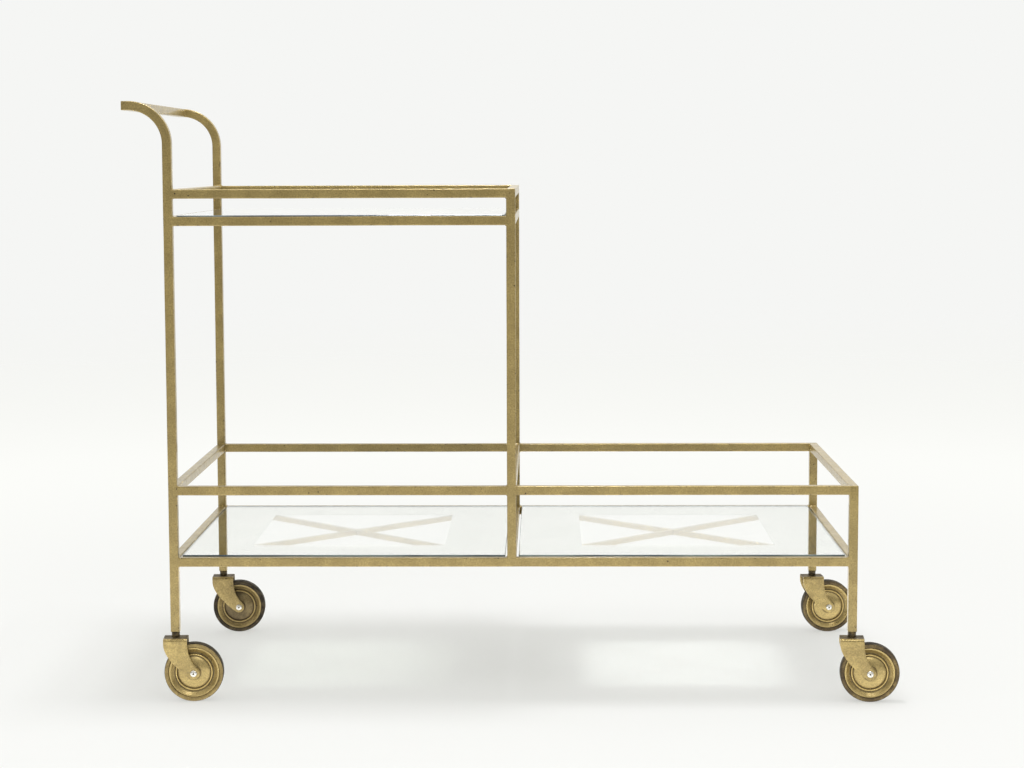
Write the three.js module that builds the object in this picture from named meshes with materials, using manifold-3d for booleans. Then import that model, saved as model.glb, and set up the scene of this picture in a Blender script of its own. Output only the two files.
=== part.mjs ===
// A two-level bar cart: a welded frame of square tube, three loose glass shelves and four swivel casters.
// Millimetres. +X runs along the cart away from the handle, +Y from front to back, +Z up.
// The origin is on the floor, under the middle of the whole cart's bounding box.
import * as THREE from "three";
import { mergeVertices } from "three/addons/utils/BufferGeometryUtils.js";
import Module from "manifold-3d";

// Frame: driving dimensions
const FRAME_LENGTH = 920; // outside of the left posts to outside of the right posts
const FRAME_DEPTH = 460; // outside of the front posts to outside of the rear posts
const MIDDLE_POST_X = -1.5; // the middle posts' centre, from the middle of the frame
const TUBE = 12; // outside of the square tube
const TUBE_WALL = 1.2;
const TUBE_CORNER = 1.2; // outside corner radius of the tube
const JOINT_GAP = 0.3; // between pieces that touch or are welded

// Heights above the floor
const POST_BOTTOM_Z = 95;
const LOWER_SHELF_Z = 195.5; // top of the lower shelf's rails
const LOWER_GALLERY_Z = 292; // top of the lower gallery's rails
const UPPER_SHELF_Z = 651;
const UPPER_GALLERY_Z = 687;
const HANDLE_TOP_Z = 803;

// Handle: the left posts bend away from the cart at the top
const BEND_RADIUS = 50; // at the tube's centre line
const ARM_REACH = 53; // from the left posts' outside to the arms' ends

// Shelves
const GLASS_THICKNESS = 6;
const GLASS_PROUD = 1.5; // the glass's top above the rails' tops
const GLASS_GAP = 3; // between the glass's edge and the tubes round it
const GLASS_CHAMFER = 0.6;
const BRACE_SIDE = 7; // of the square bars that cross under each glass

// Casters
const WHEEL_RADIUS = 40;
const TYRE_HALF_WIDTH = 9;
const RIM_RADIUS = 34.2;
const HUB_HALF_WIDTH = 11.8;
const TRAIL = 24; // from the swivel axis back to the axle
const FORK_LENGTH = 32; // of the top plate, along the cart
const FORK_WIDTH = 30; // over the two legs
const FORK_SHEET = 2.5;
const FORK_TOP_Z = 87;
const FORK_BEND = 3.5;
const FORK_SHOULDER_Z = 80; // below this the legs' edges sweep back
const FORK_END_RADIUS = 8.3; // the legs' round end, about the axle
// Each swept edge is a Bezier curve from the shoulder to the round end. It meets the round end at an angle
// about the axle, in degrees from +X, and each of its ends has a handle of the given length.
const FORK_LEADING_EDGE = { angle: -128, endHandle: 24, shoulderHandle: 16 };
const FORK_TRAILING_EDGE = { angle: 38, endHandle: 8.5, shoulderHandle: 20 };
const AXLE_RADIUS = 3;
const AXLE_HEAD_RADIUS = 4.6;
const AXLE_HEAD_HEIGHT = 2.2;
const AXLE_HEAD_FLAT = 2.6; // radius of the head's flattened crown
const STEM_RADIUS = 3;
const STEM_HEAD_RADIUS = 6;
const STEM_TOP_Z = 125;
const COLLAR_RADIUS = 5.6;
const SOCKET_SIDE = 9;
const RUNNING_GAP = 0.3; // radial, round the stems and axles

const WHEEL_SIDES = 24;
const SMALL_ROUND_SIDES = 12;
const HANDLE_BEND_STEPS = 5; // half the sides of the handle's quarter bends
const OVERSHOOT = 2; // how far a cutting tool runs past what it cuts

const wasm = await Module();
wasm.setup();

const gilt = { color: 0x9a8352, roughness: 0.42, metalness: 0.75 };
const giltWheel = { color: 0x8f7846, roughness: 0.45, metalness: 0.7 };
const giltTyre = { color: 0x7d6a40, roughness: 0.6, metalness: 0.35 };
const bareTyre = { color: 0x3a342b, roughness: 0.75, metalness: 0.05 };
const steel = { color: 0xd8d6d0, roughness: 0.3, metalness: 0.9 };
const darkSteel = { color: 0x35302a, roughness: 0.5, metalness: 0.6 };
const mirror = { color: 0xdfe6e4, roughness: 0.04, metalness: 1.0 };

const cart = new THREE.Group();

// ---------------------------------------------------------------- helpers

// A closed geometry as a manifold-3d solid.
function solidOf(geometry) {
  const bare = geometry.clone();
  bare.deleteAttribute("normal");
  bare.deleteAttribute("uv");
  const merged = mergeVertices(bare, 1e-4);
  return new wasm.Manifold(
    new wasm.Mesh({
      numProp: 3,
      vertProperties: merged.attributes.position.array,
      triVerts: new Uint32Array(merged.index.array),
    }),
  );
}

function geometryOf(solid) {
  const raw = solid.getMesh();
  const geometry = new THREE.BufferGeometry();
  geometry.setAttribute("position", new THREE.BufferAttribute(raw.vertProperties, 3));
  geometry.setIndex(new THREE.BufferAttribute(raw.triVerts, 1));
  geometry.computeVertexNormals();
  return geometry;
}

function joined(geometries) {
  const [first, ...others] = geometries.map(solidOf);
  return geometryOf(others.reduce((whole, next) => whole.add(next), first));
}

function cutBy(geometry, tools) {
  return geometryOf(tools.map(solidOf).reduce((left, tool) => left.subtract(tool), solidOf(geometry)));
}

function addMesh(parent, name, geometry, look) {
  const mesh = new THREE.Mesh(geometry, new THREE.MeshStandardMaterial(look));
  mesh.name = name;
  parent.add(mesh);
  return mesh;
}

function roundedSquare(side, radius) {
  const straight = side / 2 - radius;
  const shape = new THREE.Shape();
  shape.absarc(straight, straight, radius, 0, Math.PI / 2);
  shape.absarc(-straight, straight, radius, Math.PI / 2, Math.PI);
  shape.absarc(-straight, -straight, radius, Math.PI, 1.5 * Math.PI);
  shape.absarc(straight, -straight, radius, 1.5 * Math.PI, 2 * Math.PI);
  return shape;
}

function box(low, high) {
  const size = high.map((value, axis) => value - low[axis]);
  const middle = high.map((value, axis) => (value + low[axis]) / 2);
  return new THREE.BoxGeometry(...size).translate(...middle);
}

// ---------------------------------------------------------------- square tube

const halfTube = TUBE / 2;
const halfHollow = halfTube - TUBE_WALL;

// A tube along +Z from bottomZ to topZ. It is open at both ends, or closed by a wall at the top.
function tube(bottomZ, topZ, closedTop = false) {
  const outside = new THREE.ExtrudeGeometry(roundedSquare(TUBE, TUBE_CORNER), {
    depth: topZ - bottomZ,
    bevelEnabled: false,
    curveSegments: 1,
  });
  const hollowTopZ = closedTop ? topZ - TUBE_WALL : topZ + OVERSHOOT;
  const hollow = box([-halfHollow, -halfHollow, bottomZ - OVERSHOOT], [halfHollow, halfHollow, hollowTopZ]);
  return cutBy(outside.translate(0, 0, bottomZ), [hollow]);
}

// The side outline of a left post: up, round a quarter turn towards -X, and out to the arm's end at endX.
// It runs at the given distance either side of the tube's centre line.
function handleOutline(distance, bottomZ, endX) {
  const armZ = HANDLE_TOP_Z - halfTube;
  const bendZ = armZ - BEND_RADIUS;
  const shape = new THREE.Shape();
  shape.moveTo(-distance, bottomZ);
  shape.lineTo(distance, bottomZ);
  shape.absarc(-BEND_RADIUS, bendZ, BEND_RADIUS + distance, 0, Math.PI / 2);
  shape.lineTo(endX, armZ + distance);
  shape.lineTo(endX, armZ - distance);
  shape.absarc(-BEND_RADIUS, bendZ, BEND_RADIUS - distance, Math.PI / 2, 0, true);
  return shape;
}

// A left post and its handle arm, one bent tube: open at the foot and closed at the arm's end.
function handlePost() {
  const endX = -halfTube - ARM_REACH;
  const outside = new THREE.ExtrudeGeometry(handleOutline(halfTube, POST_BOTTOM_Z, endX), {
    depth: TUBE - 2 * TUBE_CORNER,
    bevelThickness: TUBE_CORNER,
    bevelSize: TUBE_CORNER,
    bevelOffset: -TUBE_CORNER,
    bevelSegments: 1,
    curveSegments: HANDLE_BEND_STEPS,
  });
  const hollow = new THREE.ExtrudeGeometry(
    handleOutline(halfHollow, POST_BOTTOM_Z - OVERSHOOT, endX + TUBE_WALL),
    { depth: 2 * halfHollow, bevelEnabled: false, curveSegments: HANDLE_BEND_STEPS },
  );
  outside.translate(0, 0, TUBE_CORNER - halfTube).rotateX(Math.PI / 2);
  hollow.translate(0, 0, -halfHollow).rotateX(Math.PI / 2);
  return cutBy(outside, [hollow]);
}

// ---------------------------------------------------------------- frame

const leftX = -FRAME_LENGTH / 2 + halfTube;
const rightX = FRAME_LENGTH / 2 - halfTube;
const rows = {
  front: halfTube,
  rear: FRAME_DEPTH - halfTube,
};

// Each shelf lies between two posts' centres, at its rails' top.
const bays = {
  upper: { fromX: leftX, toX: MIDDLE_POST_X, railTopZ: UPPER_SHELF_Z },
  lower_left: { fromX: leftX, toX: MIDDLE_POST_X, railTopZ: LOWER_SHELF_Z },
  lower_right: { fromX: MIDDLE_POST_X, toX: rightX, railTopZ: LOWER_SHELF_Z },
};

// A rail along X between the faces of the posts centred on fromX and toX, its top at topZ.
function rail(fromX, toX, y, topZ) {
  const length = toX - fromX - TUBE - 2 * JOINT_GAP;
  return tube(-length / 2, length / 2).rotateY(Math.PI / 2).translate((fromX + toX) / 2, y, topZ - halfTube);
}

// A rail along Y between the front row and the rear row.
function crossRail(x, topZ) {
  const length = FRAME_DEPTH - 2 * TUBE - 2 * JOINT_GAP;
  return tube(-length / 2, length / 2).rotateX(Math.PI / 2).translate(x, FRAME_DEPTH / 2, topZ - halfTube);
}

// Two bars that cross from corner to corner of a bay, inside its shelf rails, for the glass to lie on.
function brace({ fromX, toX, railTopZ }) {
  const topZ = railTopZ + GLASS_PROUD - GLASS_THICKNESS - JOINT_GAP;
  const edge = halfTube + JOINT_GAP;
  const bay = box(
    [fromX + edge, TUBE + JOINT_GAP, topZ - BRACE_SIDE],
    [toX - edge, FRAME_DEPTH - TUBE - JOINT_GAP, topZ],
  );
  const width = toX - fromX - TUBE;
  const depth = FRAME_DEPTH - 2 * TUBE;
  const bars = [1, -1].map((side) =>
    new THREE.BoxGeometry(Math.hypot(width, depth), BRACE_SIDE, BRACE_SIDE)
      .rotateZ(side * Math.atan2(depth, width))
      .translate((fromX + toX) / 2, FRAME_DEPTH / 2, topZ - BRACE_SIDE / 2),
  );
  return geometryOf(solidOf(joined(bars)).intersect(solidOf(bay)));
}

for (const [row, y] of Object.entries(rows)) {
  addMesh(cart, `post_left_${row}`, handlePost(), gilt).position.set(leftX, y, 0);
  const middlePost = tube(LOWER_SHELF_Z + JOINT_GAP, UPPER_GALLERY_Z, true);
  addMesh(cart, `post_middle_${row}`, middlePost, gilt).position.set(MIDDLE_POST_X, y, 0);
  const rightPost = tube(POST_BOTTOM_Z, LOWER_GALLERY_Z, true);
  addMesh(cart, `post_right_${row}`, rightPost, gilt).position.set(rightX, y, 0);

  addMesh(cart, `upper_gallery_${row}`, rail(leftX, MIDDLE_POST_X, y, UPPER_GALLERY_Z), gilt);
  addMesh(cart, `lower_gallery_${row}_left`, rail(leftX, MIDDLE_POST_X, y, LOWER_GALLERY_Z), gilt);
  addMesh(cart, `lower_gallery_${row}_right`, rail(MIDDLE_POST_X, rightX, y, LOWER_GALLERY_Z), gilt);
  addMesh(cart, `upper_shelf_rail_${row}`, rail(leftX, MIDDLE_POST_X, y, UPPER_SHELF_Z), gilt);
  addMesh(cart, `lower_shelf_rail_${row}`, rail(leftX, rightX, y, LOWER_SHELF_Z), gilt);
}

addMesh(cart, "upper_gallery_left", crossRail(leftX, UPPER_GALLERY_Z), gilt);
addMesh(cart, "upper_gallery_right", crossRail(MIDDLE_POST_X, UPPER_GALLERY_Z), gilt);
addMesh(cart, "upper_shelf_rail_left", crossRail(leftX, UPPER_SHELF_Z), gilt);
addMesh(cart, "upper_shelf_rail_right", crossRail(MIDDLE_POST_X, UPPER_SHELF_Z), gilt);
addMesh(cart, "lower_gallery_left", crossRail(leftX, LOWER_GALLERY_Z), gilt);
addMesh(cart, "lower_gallery_middle", crossRail(MIDDLE_POST_X, LOWER_GALLERY_Z), gilt);
addMesh(cart, "lower_gallery_right", crossRail(rightX, LOWER_GALLERY_Z), gilt);
addMesh(cart, "lower_shelf_rail_left", crossRail(leftX, LOWER_SHELF_Z), gilt);
addMesh(cart, "lower_shelf_rail_middle", crossRail(MIDDLE_POST_X, LOWER_SHELF_Z), gilt);
addMesh(cart, "lower_shelf_rail_right", crossRail(rightX, LOWER_SHELF_Z), gilt);
addMesh(cart, "handle_bar", crossRail(leftX - ARM_REACH, HANDLE_TOP_Z), gilt);

// ---------------------------------------------------------------- glass

// A loose sheet of glass with a small chamfer all round.
function glass({ fromX, toX, railTopZ }) {
  const length = toX - fromX - TUBE - 2 * GLASS_GAP;
  const depth = FRAME_DEPTH - 2 * TUBE - 2 * GLASS_GAP;
  const flatX = length / 2 - GLASS_CHAMFER;
  const flatY = depth / 2 - GLASS_CHAMFER;
  const shape = new THREE.Shape([
    new THREE.Vector2(-flatX, -flatY),
    new THREE.Vector2(flatX, -flatY),
    new THREE.Vector2(flatX, flatY),
    new THREE.Vector2(-flatX, flatY),
  ]);
  const geometry = new THREE.ExtrudeGeometry(shape, {
    depth: GLASS_THICKNESS - 2 * GLASS_CHAMFER,
    bevelThickness: GLASS_CHAMFER,
    bevelSize: GLASS_CHAMFER,
    bevelSegments: 1,
  });
  const flatTopZ = railTopZ + GLASS_PROUD;
  return geometry.translate((fromX + toX) / 2, FRAME_DEPTH / 2, flatTopZ - GLASS_THICKNESS + GLASS_CHAMFER);
}

for (const [name, bay] of Object.entries(bays)) {
  addMesh(cart, `brace_${name}`, brace(bay), gilt);
  addMesh(cart, `glass_${name}`, glass(bay), mirror);
}

// ---------------------------------------------------------------- casters

const forkHalf = FORK_WIDTH / 2;
const plateUnderZ = FORK_TOP_Z - FORK_SHEET;
// A wheel rests on the flat of one of its sides, so that the cart stands level.
const axleZ = WHEEL_RADIUS * Math.cos(Math.PI / WHEEL_SIDES);

function zCylinder(radius, bottomZ, topZ) {
  return new THREE.CylinderGeometry(radius, radius, topZ - bottomZ, SMALL_ROUND_SIDES)
    .rotateX(Math.PI / 2)
    .translate(0, 0, (bottomZ + topZ) / 2);
}

function yCylinder(radius, halfLength) {
  return new THREE.CylinderGeometry(radius, radius, 2 * halfLength, SMALL_ROUND_SIDES);
}

// A solid of revolution about Z. Each point is [radius, z], from the bottom to the top of the outside.
function turned(points, sides) {
  const outline = points.map(([radius, z]) => new THREE.Vector2(radius, z));
  return new THREE.LatheGeometry(outline, sides).rotateX(Math.PI / 2);
}

// The same about Y, with the middle of a flat side facing down. Each point is [radius, y].
function turnedAboutY(points, sides) {
  const outline = points.map(([radius, y]) => new THREE.Vector2(radius, y));
  return new THREE.LatheGeometry(outline, sides, Math.PI / sides);
}

// The bent channel that the fork is cut from, seen along X: its y and z, run along the fork.
function forkChannel() {
  const inner = forkHalf - FORK_SHEET;
  const innerBend = FORK_BEND - FORK_SHEET;
  const bottom = axleZ - FORK_END_RADIUS - OVERSHOOT;
  const shape = new THREE.Shape();
  shape.moveTo(forkHalf, bottom);
  shape.absarc(forkHalf - FORK_BEND, FORK_TOP_Z - FORK_BEND, FORK_BEND, 0, Math.PI / 2);
  shape.absarc(-forkHalf + FORK_BEND, FORK_TOP_Z - FORK_BEND, FORK_BEND, Math.PI / 2, Math.PI);
  shape.lineTo(-forkHalf, bottom);
  shape.lineTo(-inner, bottom);
  shape.absarc(-inner + innerBend, plateUnderZ - innerBend, innerBend, Math.PI, Math.PI / 2, true);
  shape.absarc(inner - innerBend, plateUnderZ - innerBend, innerBend, Math.PI / 2, 0, true);
  shape.lineTo(inner, bottom);
  const startX = -FORK_LENGTH / 2 - OVERSHOOT;
  const endX = TRAIL + FORK_END_RADIUS + OVERSHOOT;
  const channel = new THREE.ExtrudeGeometry(shape, {
    depth: endX - startX,
    bevelEnabled: false,
    curveSegments: 2,
  });
  // The shape's x becomes +Y, its y becomes +Z, and the depth becomes +X.
  channel.applyMatrix4(new THREE.Matrix4().set(0, 0, 1, startX, 1, 0, 0, 0, 0, 1, 0, 0, 0, 0, 0, 1));
  return channel;
}

// The fork's outline from the side, its x and z: a square top that sweeps back to a round end at the axle.
function forkOutline() {
  const front = -FORK_LENGTH / 2;
  const back = FORK_LENGTH / 2;
  const topZ = FORK_TOP_Z + OVERSHOOT;
  const leading = THREE.MathUtils.degToRad(FORK_LEADING_EDGE.angle);
  const trailing = THREE.MathUtils.degToRad(FORK_TRAILING_EDGE.angle);
  const pointAt = (angle) => [
    TRAIL + FORK_END_RADIUS * Math.cos(angle),
    axleZ + FORK_END_RADIUS * Math.sin(angle),
  ];
  // A point on the round end's tangent, the given distance anticlockwise from where it touches.
  const tangentPoint = (angle, distance) => {
    const [x, z] = pointAt(angle);
    return [x - distance * Math.sin(angle), z + distance * Math.cos(angle)];
  };
  const shape = new THREE.Shape();
  shape.moveTo(front, topZ);
  shape.lineTo(front, FORK_SHOULDER_Z);
  shape.bezierCurveTo(
    front,
    FORK_SHOULDER_Z - FORK_LEADING_EDGE.shoulderHandle,
    ...tangentPoint(leading, -FORK_LEADING_EDGE.endHandle),
    ...pointAt(leading),
  );
  shape.absarc(TRAIL, axleZ, FORK_END_RADIUS, leading, trailing);
  shape.bezierCurveTo(
    ...tangentPoint(trailing, FORK_TRAILING_EDGE.endHandle),
    back,
    FORK_SHOULDER_Z - FORK_TRAILING_EDGE.shoulderHandle,
    back,
    FORK_SHOULDER_Z,
  );
  shape.lineTo(back, topZ);
  const plate = new THREE.ExtrudeGeometry(shape, {
    depth: FORK_WIDTH + 2 * OVERSHOOT,
    bevelEnabled: false,
    curveSegments: 5,
  });
  return plate.rotateX(Math.PI / 2).translate(0, forkHalf + OVERSHOOT, 0);
}

function fork() {
  const blank = solidOf(forkChannel()).intersect(solidOf(forkOutline()));
  const stemHole = zCylinder(STEM_RADIUS + RUNNING_GAP, plateUnderZ - OVERSHOOT, FORK_TOP_Z + OVERSHOOT);
  const axleHole = yCylinder(AXLE_RADIUS + RUNNING_GAP, forkHalf + OVERSHOOT);
  return cutBy(geometryOf(blank), [stemHole, axleHole.translate(TRAIL, 0, axleZ)]);
}

// A rivet through the fork and the hub, with a domed head at each end.
function axle() {
  const inner = forkHalf + JOINT_GAP;
  const outer = inner + AXLE_HEAD_HEIGHT;
  const side = [
    [AXLE_RADIUS, inner],
    [AXLE_HEAD_RADIUS, inner],
    [AXLE_HEAD_RADIUS, inner + AXLE_HEAD_HEIGHT / 2],
    [AXLE_HEAD_FLAT, outer],
    [0, outer],
  ];
  const otherSide = side.map(([radius, y]) => [radius, -y]).reverse();
  return turnedAboutY([...otherSide, ...side], SMALL_ROUND_SIDES);
}

// A ring whose two sides are alike. The face's points run outwards as [radius, y].
function symmetricRing(face) {
  const otherFace = face.map(([radius, y]) => [radius, -y]);
  return turnedAboutY([...otherFace, ...face.toReversed(), otherFace[0]], WHEEL_SIDES);
}

// A pressed wheel: hub, dome, bead, recess and rim flange.
function wheelDisc() {
  return symmetricRing([
    [AXLE_RADIUS + RUNNING_GAP, HUB_HALF_WIDTH],
    [6.6, HUB_HALF_WIDTH],
    [7.4, 9.6],
    [22.8, 4],
    [24.4, 5.2],
    [25.2, 3.4],
    [29, 3.4],
    [30, 6.8],
    [RIM_RADIUS, 6.8],
  ]);
}

function tyre() {
  const seat = RIM_RADIUS + JOINT_GAP;
  return symmetricRing([
    [seat, TYRE_HALF_WIDTH - 1.2],
    [WHEEL_RADIUS - 1.4, TYRE_HALF_WIDTH],
    [WHEEL_RADIUS, TYRE_HALF_WIDTH - 3],
  ]);
}

// The stem is riveted over under the fork's plate, has a collar above it, and is fast in the post's socket.
function stem() {
  const headTop = plateUnderZ - JOINT_GAP;
  const headBottom = headTop - 2;
  const collarBottom = FORK_TOP_Z + JOINT_GAP;
  const collarTop = POST_BOTTOM_Z - JOINT_GAP;
  const outline = [
    [0, headBottom],
    [STEM_HEAD_RADIUS - 1.5, headBottom],
    [STEM_HEAD_RADIUS, headTop],
    [STEM_RADIUS, headTop],
    [STEM_RADIUS, collarBottom],
    [COLLAR_RADIUS, collarBottom],
    [COLLAR_RADIUS, collarTop],
    [STEM_RADIUS, collarTop],
    [STEM_RADIUS, STEM_TOP_Z],
    [0, STEM_TOP_Z],
  ];
  return turned(outline, SMALL_ROUND_SIDES);
}

// The square plug in the post's end that holds the stem.
function socket() {
  const side = SOCKET_SIDE / 2;
  const block = box([-side, -side, POST_BOTTOM_Z], [side, side, STEM_TOP_Z]);
  const bore = zCylinder(STEM_RADIUS + RUNNING_GAP, POST_BOTTOM_Z - OVERSHOOT, STEM_TOP_Z + OVERSHOOT);
  return cutBy(block, [bore]);
}

// Corner name, post centre, how far the fork is swivelled from straight back in degrees, and the tyre's look.
const corners = [
  ["front_left", leftX, rows.front, 4, giltTyre],
  ["rear_left", leftX, rows.rear, 3, bareTyre],
  ["front_right", rightX, rows.front, -4, giltTyre],
  ["rear_right", rightX, rows.rear, 4, giltTyre],
];

for (const [corner, x, y, swivel, tyreLook] of corners) {
  const fixed = new THREE.Group();
  fixed.position.set(x, y, 0);
  addMesh(fixed, `caster_socket_${corner}`, socket(), darkSteel);
  addMesh(fixed, `caster_stem_${corner}`, stem(), darkSteel);
  cart.add(fixed);

  const turning = new THREE.Group();
  turning.position.set(x, y, 0);
  turning.rotation.z = THREE.MathUtils.degToRad(swivel);
  addMesh(turning, `caster_fork_${corner}`, fork(), gilt);
  addMesh(turning, `caster_axle_${corner}`, axle(), steel).position.set(TRAIL, 0, axleZ);
  addMesh(turning, `caster_wheel_${corner}`, wheelDisc(), giltWheel).position.set(TRAIL, 0, axleZ);
  addMesh(turning, `caster_tyre_${corner}`, tyre(), tyreLook).position.set(TRAIL, 0, axleZ);
  cart.add(turning);
}

// The cart above is placed about its frame. The exported group has the bounding box's middle at the origin.
const bounds = new THREE.Box3().setFromObject(cart, true);
const middle = bounds.getCenter(new THREE.Vector3());
cart.position.set(-middle.x, -middle.y, 0);

const barCart = new THREE.Group();
barCart.add(cart);
export default barCart;
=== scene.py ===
"""A bar cart in aged gold.

It has a square-tube frame, three mirror-bordered glass shelves and four swivel casters.
"""

import math

import bmesh
import bpy
from mathutils import Matrix, Vector, noise


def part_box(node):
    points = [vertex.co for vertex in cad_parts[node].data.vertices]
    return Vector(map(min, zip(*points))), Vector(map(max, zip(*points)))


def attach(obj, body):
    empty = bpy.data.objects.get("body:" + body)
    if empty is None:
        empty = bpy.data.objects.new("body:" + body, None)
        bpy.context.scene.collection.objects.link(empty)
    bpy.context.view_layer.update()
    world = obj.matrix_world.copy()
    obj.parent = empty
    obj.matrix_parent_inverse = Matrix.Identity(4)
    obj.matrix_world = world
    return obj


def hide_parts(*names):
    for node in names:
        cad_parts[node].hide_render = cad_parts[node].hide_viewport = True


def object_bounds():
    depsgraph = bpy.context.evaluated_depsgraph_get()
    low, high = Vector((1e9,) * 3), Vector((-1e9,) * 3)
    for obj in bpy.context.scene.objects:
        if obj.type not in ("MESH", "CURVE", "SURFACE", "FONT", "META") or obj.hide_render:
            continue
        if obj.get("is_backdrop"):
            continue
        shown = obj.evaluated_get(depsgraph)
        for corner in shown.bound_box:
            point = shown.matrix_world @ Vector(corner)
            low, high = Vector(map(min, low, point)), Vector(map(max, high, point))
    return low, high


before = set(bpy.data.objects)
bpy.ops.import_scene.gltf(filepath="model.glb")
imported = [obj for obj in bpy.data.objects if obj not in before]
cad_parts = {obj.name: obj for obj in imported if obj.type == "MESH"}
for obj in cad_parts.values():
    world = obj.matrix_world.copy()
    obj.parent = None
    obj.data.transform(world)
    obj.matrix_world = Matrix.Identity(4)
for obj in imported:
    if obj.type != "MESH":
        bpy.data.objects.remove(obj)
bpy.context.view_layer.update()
scene = bpy.context.scene

MM = 0.001

GAP = 0.3 * MM  # the clearance that the CAD keeps between neighbouring solids
MERGE_DISTANCE = 0.002 * MM
FULL_BEND = math.radians(20)  # an edge bent this much counts as fully convex or hollow

# Angles in degrees from which an edge is shaded sharp
SHARP = 38
GLASS_SHARP = 20
TURNED_SHARP = 50
WELD_SHARP = 60

# Square tube
TUBE = 12 * MM
WALL = 1.2 * MM
CORNER = 1.2 * MM  # outside corner radius
SMALLEST_CORNER = 0.15 * MM
CORNER_STEPS = 4
SUPPORT = 0.9 * MM  # from a rounded corner to the first line of vertices on the flat
CAP_RADIUS = 0.8 * MM  # rounding of a closed end
CAP_STEPS = 3
LIP = 0.3 * MM  # bevel round the mouth of an open end
BORE_DEPTH = 14 * MM  # how far the bore goes into an open end
WELD_REACH = 1.45 * MM  # how far a rail runs on into the tube it is welded to
STATION_STEP = 22 * MM
WAVE_HEIGHT = 0.16 * MM  # hand-made unevenness of the tubes
WAVE_LENGTH = 70 * MM
WAVE_SEED = 7  # without a seed, noise_vector takes its offsets from the clock
BEND_RADIUS = 50 * MM
BEND_STEPS = 18

# Shelves
GLASS_CHAMFER = 0.6 * MM
GLASS_CORNER = 2.5 * MM
WINDOW_SIDE = 265 * MM  # the clear square in the middle of each glass
SILVERING = 0.17 * MM  # thickness of the silver and its paint, under the glass
SILVERING_GAP = 0.03 * MM
SILVERING_INSET = 1.2 * MM  # from the edge of the glass
WINDOW_CORNER = 0.4 * MM
BRACE_CORNER = 0.7 * MM

# Casters, in their own frame: the swivel axis at x = 0, the axle at x = TRAIL
FORK_HALF_LENGTH = 16 * MM
FORK_HALF_WIDTH = 15 * MM
FORK_SHEET = 2.5 * MM
FORK_BEND = 3.5 * MM
FORK_END_RADIUS = 8.3 * MM
FORK_EDGE = 0.45 * MM
FORK_SHOULDER = 80 * MM  # height at which a leg has its full width
FORK_LEAST_HALF = 0.05 * MM  # least half width of a row, which matters at the tip of a leg
# Each side of a leg: the angle at which it leaves the round end, and how far its curve is pulled low and high
FORK_LEADING = (math.radians(-128), -24 * MM, 16 * MM)
FORK_TRAILING = (math.radians(38), 8.5 * MM, 20 * MM)
LEADING_STEPS = 8
TRAILING_STEPS = 16
FORK_CURVE_STEPS = 24
# Rows of faces of a fork from the bottom of a leg to the middle of its plate, and columns across it
FORK_END_ROWS = 8
FORK_LEG_ROWS = 24
FORK_BEND_ROWS = 6
FORK_PLATE_ROWS = 3
FORK_COLUMNS = 6
AXIS_RADIUS = 0.02 * MM  # where a turned solid closes on its own axis
DIMPLE_RADIUS = 1.1 * MM  # dimple in each head of a rivet, painted dark as the shade of its hollow
STEM_SHANK = 3.0 * MM
COLLAR_RADIUS = 5.6 * MM
COLLAR_END_RADIUS = 5.1 * MM
COLLAR_BEVEL = 0.6 * MM
COLLAR_GROOVE_RADIUS = 5.0 * MM
COLLAR_GROOVE_HALF = 0.5 * MM
COLLAR_GROOVE_FLOOR = 0.2 * MM  # half the width of the groove's floor
LATHE_STEPS = 96
SOFTENING_ROUNDS = 2

# How far the painted shade of a hollow spreads: rows of vertices, and what is left of it after each
GROOVE_ROUNDS = 2
GROOVE_FADE = 0.72


# ---------------------------------------------------------------- shapes


class Shape:
    """Closed surfaces gathered for one piece. Each face has a look, the number of its material."""

    def __init__(self):
        self.vertices = []
        self.faces = []
        self.looks = []

    def add_face(self, face, look):
        self.faces.append(face)
        self.looks.append(look)

    def loft(self, rings, look=0, closed=False, start_look=None, end_look=None):
        """Joins rings of equal length in order. A closed loft joins the last to the first, others are capped.

        The look is one number, or a list with one for each row of faces.
        """
        base = len(self.vertices)
        count = len(rings[0])
        for ring in rings:
            self.vertices.extend(ring)
        last = len(rings) if closed else len(rings) - 1
        looks = look if isinstance(look, list) else [look] * last
        for row in range(last):
            low = base + row * count
            high = base + (row + 1) % len(rings) * count
            for column in range(count):
                after = (column + 1) % count
                self.add_face((low + column, low + after, high + after, high + column), looks[row])
        if not closed:
            top = base + (len(rings) - 1) * count
            start_look = looks[0] if start_look is None else start_look
            end_look = looks[-1] if end_look is None else end_look
            self.add_face(tuple(base + count - 1 - n for n in range(count)), start_look)
            self.add_face(tuple(top + n for n in range(count)), end_look)

    def transform(self, matrix):
        self.vertices = [matrix @ Vector(vertex) for vertex in self.vertices]

    def build(self, name, body, materials, slot, nodes=(), sharp=SHARP):
        mesh = bpy.data.meshes.new(name)
        mesh.from_pydata([tuple(vertex) for vertex in self.vertices], [], self.faces)
        mesh.polygons.foreach_set("material_index", self.looks)
        for material in materials:
            mesh.materials.append(material)
        work = bmesh.new()
        work.from_mesh(mesh)
        bmesh.ops.remove_doubles(work, verts=work.verts, dist=MERGE_DISTANCE)
        bmesh.ops.recalc_face_normals(work, faces=work.faces)
        work.to_mesh(mesh)
        work.verts.index_update()
        mark_edges(mesh, work)
        work.free()
        mesh.shade_smooth()
        mesh.set_sharp_from_angle(angle=math.radians(sharp))
        piece = bpy.data.objects.new(name, mesh)
        scene.collection.objects.link(piece)
        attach(piece, body)
        if nodes:
            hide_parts(*nodes)
        return piece


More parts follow.
